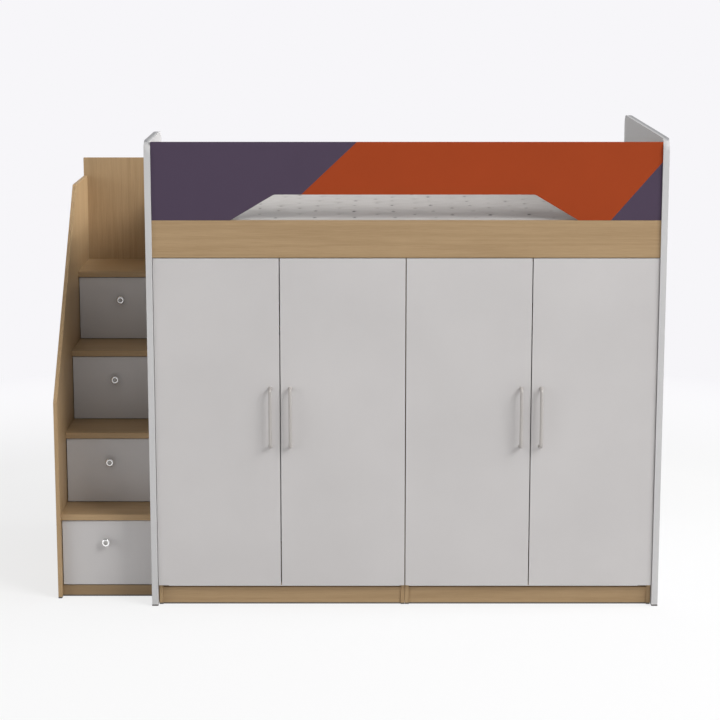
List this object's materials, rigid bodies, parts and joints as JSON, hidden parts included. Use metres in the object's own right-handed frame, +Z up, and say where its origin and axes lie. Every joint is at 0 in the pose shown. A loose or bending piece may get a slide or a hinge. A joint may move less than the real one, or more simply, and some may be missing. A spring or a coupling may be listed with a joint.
{
  "type": "loft bed",
  "caption": "Loft bed over hinged-door wardrobes, with a guard panel, a mattress and a stair chest of drawers beside it.",
  "frame": {"origin": "centre of the bounding box, at the floor", "axes": "+X along the bed, away from the stair; +Y from the front to the wall; +Z up"},
  "size_m": [2.454, 1.275, 1.9],
  "materials": {
    "oak_laminate": "oak laminate, satin",
    "grey_laminate": "light grey laminate, satin",
    "door_laminate": "light grey laminate, satin",
    "guard_colours": "laminate in burnt orange and dark purple",
    "bare_wood": "planed softwood",
    "handle_metal": "satin nickel",
    "knob_metal": "polished",
    "fitting_steel": "zinc plated",
    "mattress_cover": "quilted knit"
  },
  "bodies": {
    "frame": {"left_side_panel": "grey_laminate", "right_side_panel": "grey_laminate", "front_rail": "oak_laminate", "guard_panel": "guard_colours", "back_rail": "oak_laminate", "ledgers": "bare_wood", "slats": "bare_wood", "mattress": "mattress_cover", "wardrobe_1_left_side": "oak_laminate", "wardrobe_1_right_side": "oak_laminate", "wardrobe_1_top": "oak_laminate", "wardrobe_1_bottom": "oak_laminate", "wardrobe_1_shelf": "oak_laminate", "wardrobe_2_left_side": "oak_laminate", "wardrobe_2_right_side": "oak_laminate", "wardrobe_2_top": "oak_laminate", "wardrobe_2_bottom": "oak_laminate", "wardrobe_2_shelf": "oak_laminate", "wardrobe_backs": "grey_laminate", "wardrobe_plinths": "oak_laminate", "hanging_rods": "fitting_steel", "wardrobe_fittings": "fitting_steel", "hinge_arms": "fitting_steel", "stair_side": "oak_laminate", "stair_back": "oak_laminate", "stair_tread_1": "oak_laminate", "stair_tread_2": "oak_laminate", "stair_tread_3": "oak_laminate", "stair_tread_4": "oak_laminate", "stair_floor": "oak_laminate", "stair_plinth": "oak_laminate", "stair_runners": "fitting_steel"},
    "door_1": {"door_1_panel": "door_laminate", "door_1_handle": "handle_metal", "door_1_hinge_cups": "fitting_steel"},
    "door_2": {"door_2_panel": "door_laminate", "door_2_handle": "handle_metal", "door_2_hinge_cups": "fitting_steel"},
    "door_3": {"door_3_panel": "door_laminate", "door_3_handle": "handle_metal", "door_3_hinge_cups": "fitting_steel"},
    "door_4": {"door_4_panel": "door_laminate", "door_4_handle": "handle_metal", "door_4_hinge_cups": "fitting_steel"},
    "drawer_1": {"drawer_1_front": "door_laminate", "drawer_1_box": "door_laminate", "drawer_1_runners": "fitting_steel", "drawer_1_knob": "knob_metal"},
    "drawer_2": {"drawer_2_front": "door_laminate", "drawer_2_box": "door_laminate", "drawer_2_runners": "fitting_steel", "drawer_2_knob": "knob_metal"},
    "drawer_3": {"drawer_3_front": "door_laminate", "drawer_3_box": "door_laminate", "drawer_3_runners": "fitting_steel", "drawer_3_knob": "knob_metal"},
    "drawer_4": {"drawer_4_front": "door_laminate", "drawer_4_box": "door_laminate", "drawer_4_runners": "fitting_steel", "drawer_4_knob": "knob_metal"}
  },
  "joints": [
    {"name": "door_1_hinge", "type": "hinge", "parent": "frame", "child": "door_1", "pos_m": [-0.799, -0.5995, 0.756], "axis": [0, 0, -1], "range_deg": [0, 95]},
    {"name": "door_2_hinge", "type": "hinge", "parent": "frame", "child": "door_2", "pos_m": [0.191, -0.5995, 0.756], "axis": [0, 0, 1], "range_deg": [0, 85]},
    {"name": "door_3_hinge", "type": "hinge", "parent": "frame", "child": "door_3", "pos_m": [0.205, -0.5995, 0.756], "axis": [0, 0, -1], "range_deg": [0, 85]},
    {"name": "door_4_hinge", "type": "hinge", "parent": "frame", "child": "door_4", "pos_m": [1.195, -0.5995, 0.756], "axis": [0, 0, 1], "range_deg": [0, 95]},
    {"name": "drawer_1_slide", "type": "slide", "parent": "frame", "child": "drawer_1", "axis": [0, -1, 0], "range_m": [0, 0.4]},
    {"name": "drawer_2_slide", "type": "slide", "parent": "frame", "child": "drawer_2", "axis": [0, -1, 0], "range_m": [0, 0.4]},
    {"name": "drawer_3_slide", "type": "slide", "parent": "frame", "child": "drawer_3", "axis": [0, -1, 0], "range_m": [0, 0.4]},
    {"name": "drawer_4_slide", "type": "slide", "parent": "frame", "child": "drawer_4", "axis": [0, -1, 0], "range_m": [0, 0.26]}
  ]
}
